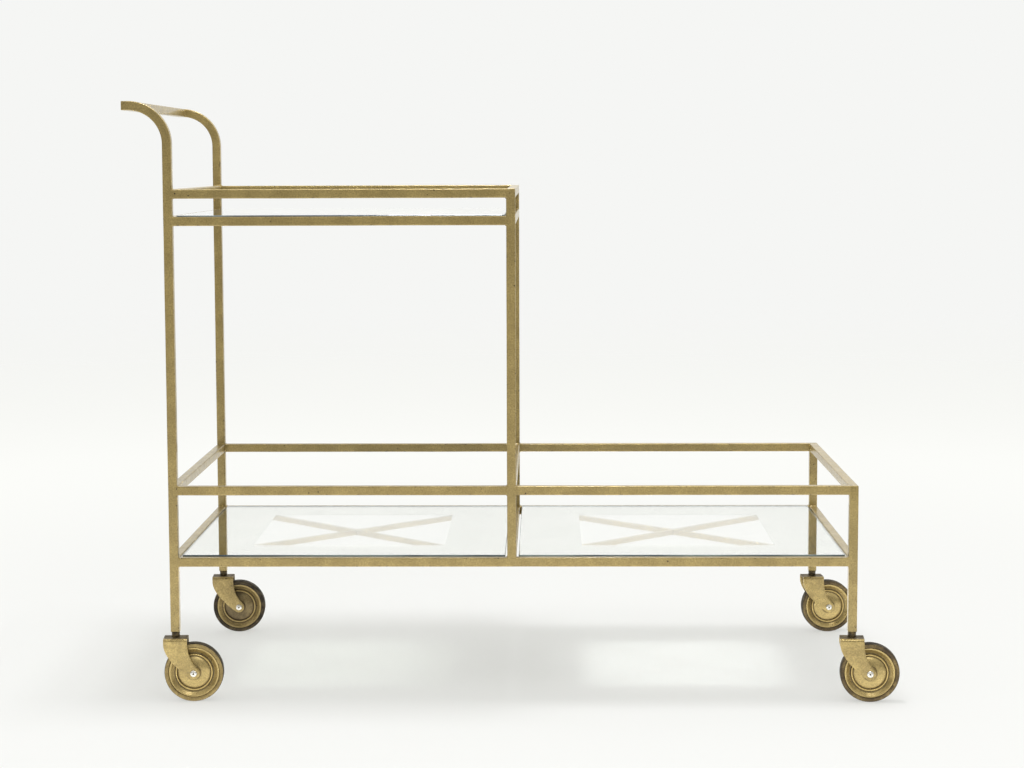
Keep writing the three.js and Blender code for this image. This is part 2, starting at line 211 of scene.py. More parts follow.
def mark_edges(mesh, work):
    """Stores how convex ("edge") and how hollow ("groove") the surface is at each vertex, from 0 to 1.

    A hollow also spreads to the vertices round it and fades as it goes, so that the painted shade in hollows
    reaches a little way out.
    """
    edges, grooves = [], []
    for vertex in work.verts:
        bends = [edge.calc_face_angle_signed(0.0) / FULL_BEND for edge in vertex.link_edges]
        edges.append(max(0.0, min(1.0, max(bends, default=0.0))))
        grooves.append(max(0.0, min(1.0, -min(bends, default=0.0))))
    for _ in range(GROOVE_ROUNDS):
        spread = []
        for vertex in work.verts:
            around = [grooves[edge.other_vert(vertex).index] * GROOVE_FADE for edge in vertex.link_edges]
            spread.append(max([grooves[vertex.index]] + around))
        grooves = spread
    for name, values in (("edge", edges), ("groove", grooves)):
        attribute = mesh.attributes.new(name, "FLOAT", "POINT")
        attribute.data.foreach_set("value", values)


def heading(degrees):
    """The unit vector at an angle, in the plane of a section."""
    return Vector((math.cos(math.radians(degrees)), math.sin(math.radians(degrees))))


def tube_section(inset, side=TUBE, corner=CORNER):
    """A rounded square, anticlockwise, the given distance inside the tube's surface."""
    half = side / 2 - inset
    radius = max(corner - inset, SMALLEST_CORNER)
    straight = half - radius
    points = []
    for quarter in range(4):
        middle = math.radians(45 + 90 * quarter)
        centre = (math.copysign(straight, math.cos(middle)), math.copysign(straight, math.sin(middle)))
        arc = []
        for step in range(CORNER_STEPS + 1):
            angle = math.radians(90 * quarter + 90 * step / CORNER_STEPS)
            arc.append(Vector((centre[0] + radius * math.cos(angle), centre[1] + radius * math.sin(angle))))
        before = heading(90 * quarter - 90)
        after = heading(90 * quarter + 180)
        points += [arc[0] + before * SUPPORT, *arc, arc[-1] + after * SUPPORT]
    return points


def section_ring(origin, across, up, inset, **section):
    return [origin + across * point.x + up * point.y for point in tube_section(inset, **section)]


def end_stations(kind):
    """(distance from the end, inset) of the rings that finish a tube's end, from the end inwards."""
    if kind == "round":
        angles = [math.radians(90 * step / CAP_STEPS) for step in range(CAP_STEPS + 1)]
        return [(CAP_RADIUS * (1 - math.cos(angle)), CAP_RADIUS * (1 - math.sin(angle))) for angle in angles]
    if kind == "open":
        return [(BORE_DEPTH, WALL), (LIP, WALL), (0.0, WALL - LIP), (0.0, LIP), (LIP, 0.0)]
    return [(-WELD_REACH, 0.0), (WELD_REACH, 0.0)]


def tube_stations(length, start_kind, end_kind):
    """(distance, inset) of every ring of a tube, from its start to its end."""
    start = end_stations(start_kind)
    end = [(length - distance, inset) for distance, inset in reversed(end_stations(end_kind))]
    count = max(1, round(length / STATION_STEP))
    middle = [(length * step / count, 0.0) for step in range(1, count)]
    return start + middle + end


noise.seed_set(WAVE_SEED)


def waved(vertex):
    """A point of the frame moved a little, by an amount that depends only on where it is."""
    return vertex + noise.noise_vector(vertex / WAVE_LENGTH) * WAVE_HEIGHT


AXES = {
    "x": (Vector((1, 0, 0)), Vector((0, 1, 0)), Vector((0, 0, 1))),
    "y": (Vector((0, 1, 0)), Vector((0, 0, 1)), Vector((1, 0, 0))),
    "z": (Vector((0, 0, 1)), Vector((1, 0, 0)), Vector((0, 1, 0))),
}


def straight_tube(start, axis, length, start_kind, end_kind):
    along, across, up = AXES[axis]
    shape = Shape()
    stations = tube_stations(length, start_kind, end_kind)
    shape.loft([section_ring(start + along * distance, across, up, inset) for distance, inset in stations])
    return shape


def rounded_rectangle(low, high, radius):
    """Corner points of a rectangle with rounded corners, anticlockwise from above, as (x, y)."""
    centres = [
        (high.x - radius, high.y - radius),
        (low.x + radius, high.y - radius),
        (low.x + radius, low.y + radius),
        (high.x - radius, low.y + radius),
    ]
    points = []
    for corner, (x, y) in enumerate(centres):
        for step in range(CORNER_STEPS + 1):
            angle = math.radians(90 * corner + 90 * step / CORNER_STEPS)
            points.append((x + radius * math.cos(angle), y + radius * math.sin(angle)))
    return points


def softened(profile):
    """A profile with its corners cut back a few times, which rounds them. Its two ends stay."""
    for _ in range(SOFTENING_ROUNDS):
        cut = [profile[0]]
        for first, second in zip(profile, profile[1:]):
            for share in (0.25, 0.75):
                cut.append(tuple(a + (b - a) * share for a, b in zip(first, second)))
        cut.append(profile[-1])
        profile = cut
    return profile


def add_lathe(shape, profile, about="y", look=0):
    """A closed profile of (radius, height) turned about the y or z axis."""
    rings = []
    for radius, height in profile:
        ring = []
        for step in range(LATHE_STEPS):
            angle = 2 * math.pi * step / LATHE_STEPS
            x, y = radius * math.cos(angle), radius * math.sin(angle)
            ring.append(Vector((x, height, y)) if about == "y" else Vector((x, y, height)))
        rings.append(ring)
    shape.loft(rings, look=look, closed=True)


# ---------------------------------------------------------------- materials


def add_node(tree, kind, inputs=None, **settings):
    node = tree.nodes.new(kind)
    for key, value in settings.items():
        setattr(node, key, value)
    for key, value in (inputs or {}).items():
        if isinstance(value, bpy.types.NodeSocket):
            tree.links.new(value, node.inputs[key])
        else:
            node.inputs[key].default_value = value
    return node


def mixed(tree, factor, first, second, blend="MIX"):
    node = add_node(tree, "ShaderNodeMix", data_type="RGBA", blend_type=blend)
    for index, value in ((0, factor), (6, first), (7, second)):
        if isinstance(value, bpy.types.NodeSocket):
            tree.links.new(value, node.inputs[index])
        else:
            node.inputs[index].default_value = value
    return node.outputs[2]


def mapped(tree, value, low, high, to_low=0.0, to_high=1.0):
    inputs = {"Value": value, "From Min": low, "From Max": high, "To Min": to_low, "To Max": to_high}
    return add_node(tree, "ShaderNodeMapRange", inputs, interpolation_type="SMOOTHSTEP").outputs[0]


def combined(tree, operation, first, second):
    return add_node(tree, "ShaderNodeMath", {0: first, 1: second}, operation=operation).outputs[0]


def noise_value(tree, place, scale, detail=3.0, roughness=0.55):
    inputs = {"Vector": place, "Scale": scale, "Detail": detail, "Roughness": roughness}
    return add_node(tree, "ShaderNodeTexNoise", inputs).outputs["Fac"]


def new_material(name):
    material = bpy.data.materials.new(name)
    material.use_nodes = True
    tree = material.node_tree
    shader = tree.nodes["Principled BSDF"]
    place = add_node(tree, "ShaderNodeTexCoord").outputs["Object"]
    return material, tree, shader, place


def shade(*rgb):
    return (*rgb, 1.0)


# The dark undercoat that worn edges and pits show. It is also the colour of the painted shade in hollows.
UNDERCOAT_AND_SHADE = shade(0.035, 0.022, 0.012)


def aged_gold(name, light, dark, wear, pits, metallic, roughness, coat, edge_highlight=0.0):
    """Gold paint, mottled and brushed, with pits and worn edges that show a dark underside.

    wear and pits say how much of it is bare. The last argument sets how much its convex edges are brightened,
    which is a painted highlight, and its hollows are darkened with painted shade.
    """
    material, tree, shader, place = new_material(name)
    broad = noise_value(tree, place, 34.0, 4.0, 0.6)
    grain = noise_value(tree, place, 500.0, 3.0, 0.62)
    patch = noise_value(tree, place, 150.0, 4.0, 0.62)
    paint = mixed(tree, mapped(tree, broad, 0.35, 0.66), dark, light)
    paint = mixed(tree, mapped(tree, patch, 0.4, 0.75, 0.0, 0.6), paint, dark)
    speckle = mapped(tree, grain, 0.3, 0.7, 0.77, 1.19)
    paint = mixed(tree, 1.0, paint, speckle, "MULTIPLY")

    cells = add_node(tree, "ShaderNodeTexVoronoi", {"Vector": place, "Scale": 85.0}).outputs["Distance"]
    near = mapped(tree, cells, 0.05, 0.13, 1.0, 0.0)
    scatter = noise_value(tree, place, 21.0, 2.0)
    where = mapped(tree, scatter, 0.72 - 0.3 * pits, 0.8 - 0.3 * pits)
    pit = combined(tree, "MULTIPLY", near, where)

    edge = add_node(tree, "ShaderNodeAttribute", attribute_name="edge").outputs["Fac"]
    flecks = noise_value(tree, place, 240.0, 4.0, 0.7)
    ragged = mapped(tree, flecks, 0.68 - 0.22 * wear, 0.78 - 0.22 * wear)
    worn = combined(tree, "MULTIPLY", edge, ragged)
    # Convex edges are brightened toward a paler gold: a painted highlight.
    edge_highlight_colour = shade(*(min(1.0, 1.45 * channel) for channel in light[:3]))
    paint = mixed(tree, combined(tree, "MULTIPLY", edge, edge_highlight), paint, edge_highlight_colour)
    bare = combined(tree, "MAXIMUM", pit, worn)

    # Hollows are darkened toward the undercoat colour: painted shade.
    groove = add_node(tree, "ShaderNodeAttribute", attribute_name="groove").outputs["Fac"]
    hollow_shade = combined(tree, "MULTIPLY", groove, mapped(tree, patch, 0.2, 0.7, 0.95, 0.72))
    paint = mixed(tree, hollow_shade, paint, UNDERCOAT_AND_SHADE)
    colour = mixed(tree, bare, paint, UNDERCOAT_AND_SHADE)
    tree.links.new(colour, shader.inputs["Base Color"])
    sheen = mapped(tree, patch, 0.3, 0.7, roughness - 0.06, roughness + 0.09)
    dulling = combined(tree, "MULTIPLY", bare, 0.2)
    tree.links.new(combined(tree, "ADD", sheen, dulling), shader.inputs["Roughness"])
    shader.inputs["Metallic"].default_value = metallic
    shader.inputs["Coat Weight"].default_value = coat
    shader.inputs["Coat Roughness"].default_value = 0.1
    height = combined(tree, "SUBTRACT", combined(tree, "MULTIPLY", grain, 0.35), bare)
    bump = add_node(tree, "ShaderNodeBump", {"Height": height, "Strength": 0.35, "Distance": 0.00025})
    tree.links.new(bump.outputs[0], shader.inputs["Normal"])
    return material


def dark_steel(name):
    material, tree, shader, place = new_material(name)
    rust = mapped(tree, noise_value(tree, place, 260.0, 4.0), 0.4, 0.7)
    colour = mixed(tree, rust, shade(0.05, 0.038, 0.022), shade(0.2, 0.145, 0.062))
    tree.links.new(colour, shader.inputs["Base Color"])
    tree.links.new(mapped(tree, rust, 0.0, 1.0, 0.34, 0.6), shader.inputs["Roughness"])
    shader.inputs["Metallic"].default_value = 0.6
    return material


def bright_steel(name):
    material, tree, shader, place = new_material(name)
    scuffs = noise_value(tree, place, 900.0, 3.0)
    share = mapped(tree, scuffs, 0.4, 0.7)
    colour = mixed(tree, share, shade(0.82, 0.81, 0.78), shade(0.5, 0.47, 0.4))
    tree.links.new(colour, shader.inputs["Base Color"])
    tree.links.new(mapped(tree, scuffs, 0.3, 0.7, 0.22, 0.42), shader.inputs["Roughness"])
    shader.inputs["Metallic"].default_value = 1.0
    return material


def old_rubber(name):
    material, tree, shader, place = new_material(name)
    traces = mapped(tree, noise_value(tree, place, 110.0, 4.0, 0.65), 0.35, 0.72)
    colour = mixed(tree, traces, shade(0.03, 0.024, 0.018), shade(0.1, 0.076, 0.042))
    tree.links.new(colour, shader.inputs["Base Color"])
    tree.links.new(mapped(tree, traces, 0.0, 1.0, 0.8, 0.6), shader.inputs["Roughness"])
    shader.inputs["Specular IOR Level"].default_value = 0.2
    grain = noise_value(tree, place, 1200.0, 2.0)
    bump = add_node(tree, "ShaderNodeBump", {"Height": grain, "Strength": 0.3, "Distance": 0.0002})
    tree.links.new(bump.outputs[0], shader.inputs["Normal"])
    return material


def mirror_silver(name):
    """The silver behind the glass, a little uneven with age."""
    material, tree, shader, place = new_material(name)
    age = noise_value(tree, place, 14.0, 5.0, 0.6)
    share = mapped(tree, age, 0.3, 0.7)
    tint = mixed(tree, share, shade(0.995, 1.0, 0.98), shade(0.97, 0.98, 0.955))
    tree.links.new(tint, shader.inputs["Base Color"])
    shader.inputs["Metallic"].default_value = 1.0
    tree.links.new(mapped(tree, age, 0.3, 0.75, 0.005, 0.02), shader.inputs["Roughness"])
    return material


def clear_glass(name):
    """Polished glass with a faint, uneven film of dust. It lets light through to what it shades."""
    material, tree, shader, place = new_material(name)
    shader.inputs["Transmission Weight"].default_value = 1.0
    shader.inputs["Roughness"].default_value = 0.0
    shader.inputs["IOR"].default_value = 1.52
    shader.inputs["Base Color"].default_value = shade(0.995, 1.0, 0.992)
    dust = noise_value(tree, place, 9.0, 5.0, 0.6)
    film = add_node(tree, "ShaderNodeBsdfDiffuse", {"Color": shade(0.85, 0.87, 0.83)})
    amount = mapped(tree, dust, 0.3, 0.7, 0.008, 0.028)
    dusty = add_node(tree, "ShaderNodeMixShader", {0: amount, 1: shader.outputs[0], 2: film.outputs[0]})
    shadow = add_node(tree, "ShaderNodeLightPath").outputs["Is Shadow Ray"]
    through = add_node(tree, "ShaderNodeBsdfTransparent", {"Color": shade(0.77, 0.80, 0.76)})
    blend = add_node(tree, "ShaderNodeMixShader", {0: shadow, 1: dusty.outputs[0], 2: through.outputs[0]})
    tree.links.new(blend.outputs[0], tree.nodes["Material Output"].inputs["Surface"])
    return material


def glass_edge(name, light, dark):
    """The cut edge of float glass, where its blue-green depth shows."""
    material, tree, shader, place = new_material(name)
    drift = noise_value(tree, place, 7.0, 3.0)
    colour = mixed(tree, mapped(tree, drift, 0.35, 0.65), dark, light)
    tree.links.new(colour, shader.inputs["Base Color"])
    grinding = noise_value(tree, place, 400.0)
    tree.links.new(mapped(tree, grinding, 0.3, 0.7, 0.08, 0.2), shader.inputs["Roughness"])
    shader.inputs["Specular IOR Level"].default_value = 0.6
    return material


def backing_paint(name):
    material, tree, shader, place = new_material(name)
    scuffs = noise_value(tree, place, 45.0, 4.0)
    share = mapped(tree, scuffs, 0.4, 0.7)
    colour = mixed(tree, share, shade(0.19, 0.2, 0.2), shade(0.12, 0.13, 0.13))
    tree.links.new(colour, shader.inputs["Base Color"])
    shader.inputs["Roughness"].default_value = 0.55
    return material


frame_gold = aged_gold(
    "aged_gold_frame",
    light=shade(0.42, 0.314, 0.117),
    dark=shade(0.335, 0.248, 0.09),
    wear=0.45,
    pits=0.7,
    metallic=0.66,
    roughness=0.42,
    coat=0.48,
)
caster_gold = aged_gold(
    "aged_gold_casters",
    light=shade(0.46, 0.345, 0.13),
    dark=shade(0.33, 0.243, 0.092),
    wear=0.25,
    pits=0.8,
    metallic=0.76,
    roughness=0.3,
    coat=0.4,
)
# Gold for the rear left fork. It is more worn and pitted than the others, and darker all over, and the
# darkening is painted shade.
caster_gold_worn_shaded = aged_gold(
    "aged_gold_casters_worn_shaded",
    light=shade(0.4, 0.298, 0.117),
    dark=shade(0.27, 0.2, 0.078),
    wear=0.5,
    pits=1.0,
    metallic=0.7,
    roughness=0.34,
    coat=0.3,
)
disc_gold = aged_gold(
    "aged_gold_discs",
    light=shade(0.49, 0.37, 0.15),
    dark=shade(0.38, 0.285, 0.112),
    wear=0.0,
    pits=0.4,
    metallic=0.74,
    roughness=0.3,
    coat=0.15,
    edge_highlight=0.8,
)
tyre_gold = aged_gold(
    "aged_gold_tyres",
    light=shade(0.36, 0.268, 0.108),
    dark=shade(0.24, 0.175, 0.07),
    wear=0.7,
    pits=0.7,
    metallic=0.6,
    roughness=0.42,
    coat=0.0,
    edge_highlight=0.3,
)
tyre_gold_worn = aged_gold(
    "aged_gold_tyres_worn",
    light=shade(0.31, 0.225, 0.09),
    dark=shade(0.09, 0.062, 0.03),
    wear=1.2,
    pits=1.2,
    metallic=0.4,
    roughness=0.55,
    coat=0.0,
)
# The top of each fork's plate is a darker brown than its legs.
plate_brown = aged_gold(
    "brown_plate_top",
    light=shade(0.2, 0.15, 0.075),
    dark=shade(0.1, 0.075, 0.038),
    wear=0.8,
    pits=0.8,
    metallic=0.3,
    roughness=0.6,
    coat=0.0,
)
rim_dull = aged_gold(
    "aged_gold_rim_dull",
    light=shade(0.4, 0.3, 0.125),
    dark=shade(0.25, 0.185, 0.078),
    wear=0.3,
    pits=0.6,
    metallic=0.7,
    roughness=0.38,
    coat=0.1,
    edge_highlight=0.7,
)
disc_brown = aged_gold(
    "aged_brown_disc",
    light=shade(0.24, 0.178, 0.08),
    dark=shade(0.12, 0.088, 0.042),
    wear=0.3,
    pits=0.6,
    metallic=0.7,
    roughness=0.36,
    coat=0.12,
)
steel_dark = dark_steel("dark_steel")
steel_bright = bright_steel("bright_steel")
rubber = old_rubber("old_rubber")
silver = mirror_silver("mirror_silver")
edge_glass = glass_edge("glass_edge", shade(0.30, 0.37, 0.39), shade(0.07, 0.10, 0.135))
clear = clear_glass("clear_glass")
backing = backing_paint("mirror_backing")


# ---------------------------------------------------------------- frame

front_y = sum(corner.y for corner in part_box("post_right_front")) / 2
rear_y = sum(corner.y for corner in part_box("post_right_rear")) / 2


def tube_piece(node, shape):
    shape.vertices = [waved(Vector(vertex)) for vertex in shape.vertices]
    return shape.build("tube_" + node, "frame", [frame_gold], "gilt_frame", [node])


def rail_start(node, axis):
    """The start of a rail's centre line and its length, from its CAD box."""
    low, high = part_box(node)
    if axis == "x":
        y = front_y if low.y < 0 else rear_y
        return Vector((low.x, y, high.z - TUBE / 2)), high.x - low.x
    return Vector(((low.x + high.x) / 2, low.y, high.z - TUBE / 2)), high.y - low.y


X_RAILS = [
    "upper_gallery_front",
    "upper_gallery_rear",
    "upper_shelf_rail_front",
    "upper_shelf_rail_rear",
    "lower_gallery_front_left",
    "lower_gallery_front_right",
    "lower_gallery_rear_left",
    "lower_gallery_rear_right",
    "lower_shelf_rail_front",
    "lower_shelf_rail_rear",
]
Y_RAILS = [
    "upper_gallery_left",
    "upper_gallery_right",
    "upper_shelf_rail_left",
    "upper_shelf_rail_right",
    "lower_gallery_left",
    "lower_gallery_middle",
    "lower_gallery_right",
    "lower_shelf_rail_left",
    "lower_shelf_rail_middle",
    "lower_shelf_rail_right",
    "handle_bar",
]
POSTS = {
    "post_middle_front": "weld",
    "post_middle_rear": "weld",
    "post_right_front": "open",
    "post_right_rear": "open",
}

for node in X_RAILS:
    start, length = rail_start(node, "x")
    tube_piece(node, straight_tube(start, "x", length, "weld", "weld"))
for node in Y_RAILS:
    start, length = rail_start(node, "y")
    tube_piece(node, straight_tube(start, "y", length, "weld", "weld"))
for node, foot in POSTS.items():
    low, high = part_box(node)
    start = Vector(((low.x + high.x) / 2, (low.y + high.y) / 2, low.z))
    tube_piece(node, straight_tube(start, "z", high.z - low.z, foot, "round"))


def handle_post(node):
    """One of the two bent posts: up, round a quarter turn and out along the handle's arm."""
    low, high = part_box(node)
    base = Vector((high.x - TUBE / 2, (low.y + high.y) / 2, low.z))
    rise = high.z - TUBE / 2 - BEND_RADIUS - low.z
    arm = base.x - BEND_RADIUS - low.x
    across_y = Vector((0, 1, 0))
    rings = []

    def add_ring(origin, angle, inset):
        across = Vector((math.cos(angle), 0, math.sin(angle)))
        rings.append(section_ring(origin, across, across_y, inset))

    for distance, inset in tube_stations(rise, "open", "weld")[:-2]:
        add_ring(base + Vector((0, 0, distance)), 0.0, inset)
    centre = base + Vector((-BEND_RADIUS, 0, rise))
    for step in range(BEND_STEPS + 1):
        angle = math.pi / 2 * step / BEND_STEPS
        offset = Vector((BEND_RADIUS * math.cos(angle), 0, BEND_RADIUS * math.sin(angle)))
        add_ring(centre + offset, angle, 0.0)
    for distance, inset in tube_stations(arm, "weld", "round")[2:]:
        add_ring(centre + Vector((-distance, 0, BEND_RADIUS)), math.pi / 2, inset)
    shape = Shape()
    shape.loft(rings)
    tube_piece(node, shape)


handle_post("post_left_front")
handle_post("post_left_rear")


# ---------------------------------------------------------------- welds

WELD_SIZE = 1.35 * MM
WELD_STEPS = 10
WELD_ARC_STEPS = 4
WELD_ROOT = 0.3 * MM  # how far a fillet runs into its corner
WELD_SWELL = 0.35  # how much a fillet's size varies, and over what length
WELD_LUMP = 4 * MM
WELD_TAPER = 0.45  # size of a fillet's two ends
WELD_HOLLOW = 0.22  # how deep a fillet's face is hollowed, as a share of its size
WELD_SHORTER = 2.2 * MM  # than the side that it runs along
MIDDLE_REACH = 100 * MM  # an x between the middle posts and the right ones


def add_weld(shape, corner, along, first, second, length):
    """A small fillet in the corner between two faces whose outward normals are first and second."""
    rings = []
    for step in range(WELD_STEPS + 1):
        share = step / WELD_STEPS
        at = corner + along * (share - 0.5) * length
        swell = 1 + WELD_SWELL * noise.noise(at / WELD_LUMP)
        size = WELD_SIZE * swell * (WELD_TAPER if step in (0, WELD_STEPS) else 1.0)
        ring = [at - (first + second) * WELD_ROOT]
        for turn in range(WELD_ARC_STEPS + 1):
            angle = math.pi / 2 * turn / WELD_ARC_STEPS
            reach = 1 - WELD_HOLLOW * math.sin(2 * angle)
            ring.append(at + (first * math.cos(angle) + second * math.sin(angle)) * size * reach)
        rings.append(ring)
    shape.loft(rings)


def weld_faces(shape, centre, away, sides):
    """A fillet on each given side of a tube that meets a face at centre and leads away from it."""
    for side in sides:
        along = away.cross(side)
        add_weld(shape, centre + side * TUBE / 2, along, away, side, TUBE - WELD_SHORTER)


UP = Vector((0, 0, 1))
RIGHT = Vector((1, 0, 0))
BACK = Vector((0, 1, 0))

welds = Shape()
for node in X_RAILS:
    start, length = rail_start(node, "x")
    for x, away in ((start.x, RIGHT), (start.x + length, -RIGHT)):
        at_left_post = away is RIGHT and not node.endswith("_right")
        sides = [-UP]
        if "shelf" in node or (at_left_post and "gallery" in node):
            sides.append(UP)
        if "lower_gallery" in node and x < MIDDLE_REACH and not at_left_post:
            sides.append(UP)
        weld_faces(welds, Vector((x - away.x * GAP, start.y, start.z)), away, sides)
for node in Y_RAILS:
    start, length = rail_start(node, "y")
    for y, away in ((start.y, BACK), (start.y + length, -BACK)):
        if node == "handle_bar":
            sides = [RIGHT]
        elif node == "lower_shelf_rail_middle":
            sides = [RIGHT, -RIGHT]
        elif node in ("upper_gallery_right", "lower_gallery_right"):
            sides = [-UP]
        else:
            sides = [UP, -UP]
        weld_faces(welds, Vector((start.x, y - away.y * GAP, start.z)), away, sides)
for node in ("post_middle_front", "post_middle_rear"):
    low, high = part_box(node)
    foot = Vector(((low.x + high.x) / 2, (low.y + high.y) / 2, low.z - GAP))
    weld_faces(welds, foot, UP, [RIGHT, -RIGHT])
welds.build("welds", "frame", [frame_gold], "gilt_frame", sharp=WELD_SHARP)


# ---------------------------------------------------------------- shelves


def brace(bay):
    """The two square bars that cross under a glass. Their ends run on into the rails' corner."""
    node = "brace_" + bay
    low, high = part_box(node)
    side = high.z - low.z
    centre = (low + high) / 2
    shape = Shape()
    for turn in (1, -1):
        reach = Vector((high.x - centre.x, turn * (high.y - centre.y), 0))
        along = reach.normalized()
        across = Vector((-along.y, along.x, 0))
        half = reach.length + WELD_REACH
        count = round(2 * half / STATION_STEP)
        places = [centre + along * half * (2 * step / count - 1) for step in range(count + 1)]
        shape.loft([section_ring(place, across, UP, 0.0, side=side, corner=BRACE_CORNER) for place in places])
    tube_piece(node, shape)


def glass(bay):
    """A sheet of glass, silvered behind except in a square window in the middle."""
    node = "glass_" + bay
    low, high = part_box(node)
    bottom = low.z + SILVERING + SILVERING_GAP
    levels = [
        (bottom, GLASS_CHAMFER),
        (bottom + GLASS_CHAMFER, 0.0),
        (high.z - GLASS_CHAMFER, 0.0),
        (high.z, GLASS_CHAMFER),
    ]
    middle = (low + high) / 2
    window = Vector((WINDOW_SIDE / 2, WINDOW_SIDE / 2, 0))
    rim = Vector((SILVERING_INSET, SILVERING_INSET, 0))
    inner = rounded_rectangle(middle - window, middle + window, WINDOW_CORNER)
    outer = rounded_rectangle(low + rim, high - rim, GLASS_CORNER)
    rings = [[Vector((x, y, bottom)) for x, y in outline] for outline in (inner, outer)]
    for z, inset in levels:
        inside = Vector((inset, inset, 0))
        outline = rounded_rectangle(low + inside, high - inside, GLASS_CORNER - inset)
        rings.append([Vector((x, y, z)) for x, y in outline])
    shape = Shape()
    shape.loft(rings, look=[2, 0, 1, 1, 1], start_look=0, end_look=0)

    top = low.z + SILVERING
    coating = [(outer, low.z), (outer, top), (inner, top), (inner, low.z)]
    rings = [[Vector((x, y, z)) for x, y in outline] for outline, z in coating]
    shape.loft(rings, look=3, closed=True)
    materials = [clear, edge_glass, silver, backing]
    shape.build("sheet_" + bay, node + "_sheet", materials, "mirror_glass", [node], sharp=GLASS_SHARP)


for bay in ("upper", "lower_left", "lower_right"):
    brace(bay)
    glass(bay)


# ---------------------------------------------------------------- casters


def bezier(corners, steps):
    """Points of a cubic curve with four given corners, as (x, z)."""
    points = []
    for step in range(steps + 1):
        t = step / steps
        s = 1 - t
        weights = (s * s * s, 3 * s * s * t, 3 * s * t * t, t * t * t)
        x = sum(weight * corner[0] for weight, corner in zip(weights, corners))
        z = sum(weight * corner[1] for weight, corner in zip(weights, corners))
        points.append((x, z))
    return points


def fork_side(trail, axle, x_top, curve, arc_steps):
    """One side of a fork's leg, from the bottom of its round end up to x_top at the shoulder, as (x, z)."""
    leaving, low_pull, high_pull = curve

    def rim(angle, ahead=0.0):
        x = trail + FORK_END_RADIUS * math.cos(angle) - ahead * math.sin(angle)
        z = axle + FORK_END_RADIUS * math.sin(angle) + ahead * math.cos(angle)
        return x, z

    bottom = -math.pi / 2
    points = [rim(bottom + (leaving - bottom) * step / arc_steps) for step in range(arc_steps)]
    corners = (
        rim(leaving),
        rim(leaving, low_pull),
        (x_top, FORK_SHOULDER - high_pull),
        (x_top, FORK_SHOULDER),
    )
    return points + bezier(corners, FORK_CURVE_STEPS)


def x_at(outline, z):
    """Where an outline that runs upwards crosses the height z."""
    for (x0, z0), (x1, z1) in zip(outline, outline[1:]):
        if z0 <= z <= z1:
            return x0 + (x1 - x0) * (z - z0) / max(z1 - z0, 1e-9)
    return outline[0][0] if z < outline[0][1] else outline[-1][0]


def fork(trail, axle, top):
    """A bent-sheet fork: two swept legs and the plate between them, with rounded edges."""
    front = fork_side(trail, axle, -FORK_HALF_LENGTH, FORK_LEADING, LEADING_STEPS)
    back = fork_side(trail, axle, FORK_HALF_LENGTH, FORK_TRAILING, TRAILING_STEPS)
    bottom = axle - FORK_END_RADIUS
    bend_z = top - FORK_BEND
    rows = []  # (y, z, outward normal, thickness inset)
    for step in range(FORK_END_ROWS + 1):
        z = bottom + FORK_END_RADIUS * (1 - math.cos(math.pi / 2 * step / FORK_END_ROWS))
        rows.append((FORK_HALF_WIDTH, z, (1, 0), FORK_EDGE * max(0.0, 1 - step / 2)))
    for step in range(1, FORK_LEG_ROWS + 1):
        rows.append((FORK_HALF_WIDTH, axle + (bend_z - axle) * step / FORK_LEG_ROWS, (1, 0), 0.0))
    for step in range(1, FORK_BEND_ROWS + 1):
        angle = math.pi / 2 * step / FORK_BEND_ROWS
        normal = (math.cos(angle), math.sin(angle))
        centre_y = FORK_HALF_WIDTH - FORK_BEND
        rows.append((centre_y + FORK_BEND * normal[0], bend_z + FORK_BEND * normal[1], normal, 0.0))
    for step in range(1, FORK_PLATE_ROWS + 1):
        rows.append(((FORK_HALF_WIDTH - FORK_BEND) * (1 - step / FORK_PLATE_ROWS), top, (0, 1), 0.0))
    other = [(-y, z, (-normal[0], normal[1]), inset) for y, z, normal, inset in reversed(rows[:-1])]
    rings = []
    for y, z, normal, inset in rows + other:
        left = x_at(front, z)
        right = x_at(back, z)
        edge = min(FORK_EDGE, (right - left) / 2)
        middle = (left + right) / 2
        left = min(left, middle - FORK_LEAST_HALF)
        right = max(right, middle + FORK_LEAST_HALF)
        thin = inset
        thick = FORK_SHEET - inset
        nick = 0.3 * edge  # the middle of a rounded corner lies this far in from both faces
        width = right - left - 2 * edge
        flat = [left + edge + width * column / FORK_COLUMNS for column in range(FORK_COLUMNS + 1)]
        outline = [(x, thin) for x in flat]
        outline += [(right - nick, thin + nick), (right, thin + edge)]
        outline += [(right, thick - edge), (right - nick, thick - nick)]
        outline += [(x, thick) for x in reversed(flat)]
        outline += [(left + nick, thick - nick), (left, thick - edge)]
        outline += [(left, thin + edge), (left + nick, thin + nick)]
        rings.append([Vector((x, y - normal[0] * depth, z - normal[1] * depth)) for x, depth in outline])
    shape = Shape()
    leg = len(rows) - 1 - FORK_PLATE_ROWS
    shape.loft(rings, look=[0] * leg + [1] * 2 * FORK_PLATE_ROWS + [0] * leg)
    return shape


def both_faces(face, inner):
    """A closed profile that is the same on both sides. face runs outwards and inner closes it at the bore."""
    outer = [(radius, -height) for radius, height in face]
    return softened(outer + list(reversed(face))) + [(inner, face[0][1]), (inner, -face[0][1])]


def mm(points):
    """Points given in millimetres as (radius, height), turned into metres."""
    return [(radius * MM, height * MM) for radius, height in points]


